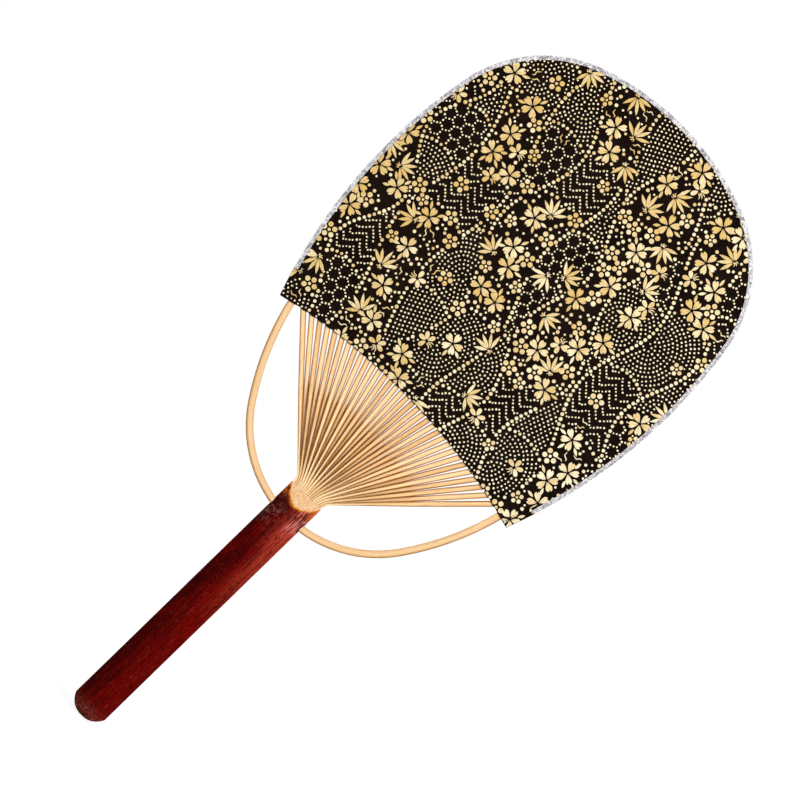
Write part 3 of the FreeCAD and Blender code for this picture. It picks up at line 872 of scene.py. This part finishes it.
def net(x, z, _):
    """Places of fine dots along a net of hexagons, at its corners and in the middle of its sides."""
    places = []
    for row in both_sides(NET_ROWS):
        for column in both_sides(NET_COLUMNS):
            cell_x = x + (column + 0.5 * (row % 2)) * NET_SIDE * math.sqrt(3)
            cell_z = z + row * NET_SIDE * 1.5
            for corner in range(6):
                for share, turn in ((1.0, 0), (math.sqrt(3) / 2, 30)):
                    angle, reach = math.radians(60 * corner + turn), share * NET_SIDE
                    places.append((cell_x + reach * math.sin(angle), cell_z + reach * math.cos(angle)))
    return places


def chevrons(x, z, _):
    """Places of fine dots along zigzag lines."""
    step = CHEVRON_STEP / math.sqrt(2)
    places = []
    for line in both_sides(CHEVRON_LINES):
        for count in both_sides(CHEVRON_DOTS):
            saw = abs((count * step / CHEVRON_WAVE) % 1.0 - 0.5) * CHEVRON_WAVE
            places.append((x + count * step, z + line * CHEVRON_PITCH + saw))
    return places


FINE_DOTS = {"rings": rings, "lines": lines, "net": net, "chevrons": chevrons}


class Layout:
    """The print of one sheet, uncut: outlines of its motifs and of its dots, with their tones."""

    def __init__(self, seed):
        self.dice = random.Random(seed)
        self.leaf = Area(leaf_outline, lambda middle, inward: 0.0)
        self.room = Room()
        self.motifs, self.dots = [], []
        self.low = min(z for _, z in leaf_outline)
        self.high = max(z for _, z in leaf_outline)
        self.wide = max(x for x, _ in leaf_outline)
        self.bands = self.cut_bands()
        self.fields = [self.cut_fields(band) for band in self.bands[:-1]]
        self.place_motifs()
        self.string_borders()
        self.string_fields()
        self.fill_fields()
        self.strew_dots()

    def cut_bands(self):
        """Bands of flowers and of dots in turn, from left to right."""
        bands = []
        start = -self.wide - FLOWER_BAND * 2
        while start < self.wide + FLOWER_BAND * 2:
            kind = "dots" if len(bands) % 2 else "flowers"
            swing, wave = self.dice.uniform(*BAND_SWINGS), self.dice.uniform(*BAND_WAVES)
            bands.append(Band(start, swing, wave, self.dice.uniform(0, 2 * math.pi), kind))
            start += DOT_BAND if kind == "dots" else FLOWER_BAND
        return bands

    def cut_fields(self, band):
        """The fields of a band, from below."""
        kinds = list(FIELD_KINDS[band.kind])
        self.dice.shuffle(kinds)
        fields = []
        z = self.low - self.dice.uniform(*FIELD_STARTS)
        while z < self.high:
            top = z + self.dice.uniform(*FIELD_HEIGHTS)
            fields.append(Field(z, top, kinds[len(fields) % len(kinds)]))
            z = top
        return fields

    def border(self, k, z):
        """Where a band's left border lies at a height."""
        band = self.bands[k]
        swung = band.start + band.swing * math.sin(2 * math.pi * z / band.wave + band.phase)
        return swung - BAND_LEAN * (z - (self.low + self.high) / 2)

    def field_of(self, x, z):
        """Band and field at a place, and its distance from the band's nearer border."""
        for k, fields in enumerate(self.fields):
            left, right = self.border(k, z), self.border(k + 1, z)
            if left <= x < right:
                arch = FIELD_ARCH * (1 - ((2 * x - left - right) / (right - left)) ** 2)
                for field in fields:
                    if field.bottom + arch <= z < field.top + arch:
                        return k, field, min(x - left, right - x)
        return OUTSIDE

    def any_place(self):
        return self.dice.uniform(-self.wide, self.wide), self.dice.uniform(self.low, self.high)

    def place_motifs(self):
        """Motifs, most of them in open fields and clear of the borders."""
        placed = []
        for make, radius, count in MOTIFS:
            left_over = count
            for _ in range(MOTIF_TRIES):
                if not left_over:
                    break
                x, z = self.any_place()
                if self.leaf.depth(x, z) < -OVERHANG_SHARE * radius:
                    continue
                _, field, edge = self.field_of(x, z)
                amiss = field.kind != "open" or edge < BORDER_SHARE * radius
                if amiss and self.dice.random() > STRAY_SHARE:
                    continue
                if any(math.hypot(x - px, z - pz) < SPACING_SHARE * (radius + near)
                       for px, pz, near in placed):
                    continue
                placed.append((x, z, radius))
                left_over -= 1
                self.motif(make, x, z)

    def motif(self, make, x, z):
        """Prints a motif and keeps dots off it."""
        tone, turn = self.dice.uniform(*MOTIF_TONES), self.dice.uniform(0, 360)
        for part in make(self.dice):
            part = moved(part, turn, x, z)
            heart_x, heart_z = centre(part)
            self.room.take(heart_x, heart_z, HEART_ROOM)
            for px, pz in part:
                self.room.take((px + heart_x) / 2, (pz + heart_z) / 2, HALFWAY_ROOM)
                self.room.take(px, pz, RIM_ROOM)
            own_tone = tone + self.dice.uniform(-TONE_SPREAD, TONE_SPREAD)
            self.motifs.append((part, min(1.0, max(0.0, own_tone))))

    def dot(self, x, z, radius, gap, corners):
        """Prints a dot where there is room for it."""
        if self.leaf.depth(x, z) > -radius and self.room.free(x, z, radius, gap):
            self.room.take(x, z, radius)
            outline = disc(radius * self.dice.uniform(*DOT_SHARES), corners)
            tone = self.dice.uniform(*DOT_TONES) - (GOLDEN_SHIFT if radius > PALE_DOT else 0.0)
            self.dots.append((moved(outline, self.dice.uniform(0, 45), x, z), tone))

    def string_borders(self):
        """Strings of dots along the bands' borders."""
        for k in range(len(self.bands)):
            z = self.low
            while z < self.high:
                radius = STRING_DOT * self.dice.uniform(*BORDER_DOT_SHARES)
                self.dot(self.border(k, z), z, radius, STRING_GAP, ROUND_CORNERS)
                slope = self.border(k, z + 0.5) - self.border(k, z - 0.5)
                z += STRING_STEP / math.hypot(1.0, slope)

    def string_fields(self):
        """Strings of dots across the bands, over the arched tops of their fields."""
        for k, fields in enumerate(self.fields):
            for field in fields:
                steps = round((self.border(k + 1, field.top) - self.border(k, field.top)) / STRING_STEP)
                for step in range(1, steps):
                    share = step / steps
                    z = field.top + FIELD_ARCH * (1 - (2 * share - 1) ** 2)
                    x = self.border(k, z) + (self.border(k + 1, z) - self.border(k, z)) * share
                    radius = STRING_DOT * self.dice.uniform(*ARCH_DOT_SHARES)
                    self.dot(x, z, radius, STRING_GAP, ROUND_CORNERS)

    def fill_fields(self):
        """Fine dots in the fields that aren't open."""
        for k, fields in enumerate(self.fields):
            for field in fields:
                if field.kind != "open":
                    self.fill_field(k, field)

    def fill_field(self, k, field):
        middle_z = (field.bottom + field.top) / 2
        middle_x = (self.border(k, middle_z) + self.border(k + 1, middle_z)) / 2
        for x, z in FINE_DOTS[field.kind](middle_x, middle_z, self.dice):
            if field.kind == "lines":
                x += self.border(k, z) - self.border(k, middle_z)
            here, found, _ = self.field_of(x, z)
            if here == k and found == field:
                x += self.dice.uniform(-FIELD_JITTER, FIELD_JITTER)
                z += self.dice.uniform(-FIELD_JITTER, FIELD_JITTER)
                radius = FIELD_DOT * self.dice.uniform(*FIELD_DOT_SHARES)
                self.dot(x, z, radius, FIELD_GAP, FINE_CORNERS)

    def strew_dots(self):
        """Loose dots in what is left of the open fields."""
        for _ in range(LOOSE_TRIES):
            x, z = self.any_place()
            if self.field_of(x, z)[1].kind == "open":
                self.dot(x, z, self.dice.choice(LOOSE_DOTS), LOOSE_GAP, ROUND_CORNERS)


def star_like(points, heart):
    """Whether straight lines from a heart to all the corners of an outline stay inside it."""
    sides = []
    for a, b in zip(points, points[1:] + points[:1]):
        sides.append((a[0] - heart[0]) * (b[1] - heart[1]) - (b[0] - heart[0]) * (a[1] - heart[1]))
    return min(sides) > STAR_MARGIN or max(sides) < -STAR_MARGIN


def make_print(name, prints, area, sheet_y, finish, sags):
    """Printed shapes, cut to an area, as thin closed plates that follow the creased paper.

    A plate's outer face gets a corner in its middle where it can, so that its finish knows the rim.
    """
    out = math.copysign(1.0, sheet_y)
    corners, faces, tones, glows = [], [], [], []
    for outline, tone in prints:
        points = area.trim(outline)
        first, count = len(corners), len(points)
        if count < 3:
            continue
        heart = centre(points)
        under = [(x, sheet_y - out * PRINT_SINK, z) for x, z in points]
        over = [(x, sheet_y + out * PRINT_THICKNESS, z) for x, z in points]
        ring = list(range(count))
        faces.append([first + k for k in ring])
        if star_like(points, heart):
            over.append((heart[0], sheet_y + out * PRINT_THICKNESS, heart[1]))
            faces += [[first + count + k, first + 2 * count, first + count + (k + 1) % count] for k in ring]
        else:
            faces.append([first + count + k for k in reversed(ring)])
        faces += [[first + k, first + count + k, first + count + (k + 1) % count, first + (k + 1) % count]
                  for k in ring]
        for x, y, z in under + over:
            corners.append((x * MM, (y - out * SAG * sags * sag(x, z)) * MM, z * MM))
        tones += [tone] * (len(under) + len(over))
        glows += [0.0] * (2 * count) + [1.0] * (len(over) - count)
    mesh = bpy.data.meshes.new(name)
    mesh.from_pydata(corners, [], faces)
    mark(mesh, "tone", tones)
    mark(mesh, "glow", glows)
    piece = bpy.data.objects.new(name, mesh)
    bpy.context.scene.collection.objects.link(piece)
    only(piece)
    bpy.ops.object.mode_set(mode="EDIT")
    bpy.ops.mesh.select_all(action="SELECT")
    bpy.ops.mesh.normals_make_consistent(inside=False)
    bpy.ops.object.mode_set(mode="OBJECT")
    dress(piece, finish, "printed_paper")


def print_sheet(side, sheet_y, seed, finish):
    """Motifs and dots of one side of the leaf, and what of them lies on the ears."""
    layout = Layout(seed)
    leaf = Area(leaf_outline, leaf_margin)
    make_print(f"{side}_blossoms", layout.motifs, leaf, sheet_y, finish, sags=1.0)
    make_print(f"{side}_dots", layout.dots, leaf, sheet_y, finish, sags=1.0)
    for node in ("left_ear", "right_ear"):
        corners = outline_of(node)
        hull = [corners[k] for k in convex_hull_2d(corners)]
        ear = Area(hull, lambda middle, inward: EAR_MARGIN, convex=True)
        low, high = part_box(node)
        ear_y = (high.y if sheet_y > 0 else low.y) / MM
        make_print(f"{node}_{side}_print", layout.motifs + layout.dots, ear, ear_y, finish, sags=0.0)


def make_rim(paper):
    """Silver strip round the edge and the two printed ears at its ends."""
    strip = copy_of("edge_binding", "silver_strip")
    smooth(strip, angle=30)
    dress(strip, silver_paper(), "silver_paper", "edge_binding")
    for node in ("left_ear", "right_ear"):
        ear = copy_of(node, f"{node}_patch")
        dress(ear, paper, "printed_paper", node)


def make_thread():
    thread = copy_of("stay_thread", "woven_thread")
    dress(thread, cotton(), "thread", "stay_thread")


make_handle()
make_ribs()
make_bow()
paper = black_paper()
gold = gold_print()
make_sheet("front_paper", "front_sheet", paper)
make_sheet("back_paper", "back_sheet", paper)
print_sheet("front", FRONT_Y, FRONT_SEED, gold)
print_sheet("back", BACK_Y, BACK_SEED, gold)
make_rim(paper)
make_thread()


# Studio

FLOOR_SIDE = 3000
FLOOR_BELOW = 0.2

# The floor's grey and glow, how white it is to the camera near the butt and by how much more far away
FLOOR_GREY, FLOOR_GLOW = 0.86, 1.15
NEAR_WHITE, MORE_WHITE = 0.70, 0.25
FLOOR_FADE = (150.0, 700.0)

LAMP_TARGET_Z = 110.0
WORLD_LIGHT = 0.33


def make_floor():
    """A pale floor under the butt. It looks white to the camera and keeps the fan's shadow near the butt."""
    bpy.ops.object.select_all(action="DESELECT")
    bpy.ops.mesh.primitive_plane_add(size=FLOOR_SIDE * MM, location=(0, 0, (BUTT - FLOOR_BELOW) * MM))
    floor = bpy.context.object
    floor.name = "studio_floor"
    f = Finish("studio_floor")
    away = (f.x * f.x + f.y * f.y) ** 0.5
    seen = f.node("ShaderNodeLightPath", out="Is Camera Ray")
    white = seen * (NEAR_WHITE + away.step(*FLOOR_FADE) * MORE_WHITE)
    matt = f.node("ShaderNodeBsdfDiffuse", inputs={"Color": (FLOOR_GREY, FLOOR_GREY, FLOOR_GREY, 1)})
    glow = f.node("ShaderNodeEmission", inputs={"Strength": FLOOR_GLOW})
    f.link(f.node("ShaderNodeMixShader", inputs={0: white, 1: matt, 2: glow}), "Material Output", "Surface")
    f.tree.nodes.remove(f.shader)
    floor.data.materials.append(f.material)


def make_world():
    """White to the camera and in reflections, softer as a light."""
    world = bpy.data.worlds.new("studio")
    bpy.context.scene.world = world
    n = Nodes(world)
    rays = n.node("ShaderNodeLightPath", out=None)
    seen, glossy, through = (Socket(n, rays.outputs[f"Is {kind} Ray"])
                             for kind in ("Camera", "Glossy", "Transmission"))
    white = seen.higher(glossy).higher(through)
    n.link(white * (1.0 - WORLD_LIGHT) + WORLD_LIGHT, "Background", "Strength")
    n.tree.nodes["Background"].inputs["Color"].default_value = (1, 1, 1, 1)


def make_lamp(name, place, size, power):
    """A soft lamp that faces the middle of the fan."""
    target = Vector((0, 0, LAMP_TARGET_Z)) * MM
    spot = Vector(place) * MM
    bpy.ops.object.light_add(type="AREA", location=spot)
    lamp = bpy.context.object
    lamp.name = name
    lamp.data.size = size * MM
    lamp.data.energy = power
    lamp.rotation_euler = (target - spot).to_track_quat("-Z", "Y").to_euler()


def make_camera():
    """A long lens square to the leaf, rolled so that the handle slopes as in the photo."""
    slope = math.radians(90 - HANDLE_SLOPE)
    right = Vector((math.cos(slope), 0, math.sin(slope)))
    up = Vector((-math.sin(slope), 0, math.cos(slope)))
    turn = Matrix((right, up, right.cross(up))).transposed()
    bpy.ops.object.camera_add()
    camera = bpy.context.object
    camera.name = "photo_camera"
    camera.location = Vector((VIEW_X, -CAMERA_DISTANCE, VIEW_Z)) * MM
    camera.rotation_euler = turn.to_euler()
    camera.data.sensor_width = SENSOR_WIDTH
    camera.data.lens = SENSOR_WIDTH * CAMERA_DISTANCE / VIEW_WIDTH
    bpy.context.scene.camera = camera


make_floor()
make_world()
make_lamp("key_lamp", (400, -1000, 750), size=600, power=13.2)
make_lamp("fill_lamp", (-700, -800, 200), size=700, power=1.6)
make_lamp("back_lamp", (100, 900, 600), size=700, power=7.0)
make_camera()
bpy.context.scene.view_settings.view_transform = "Standard"
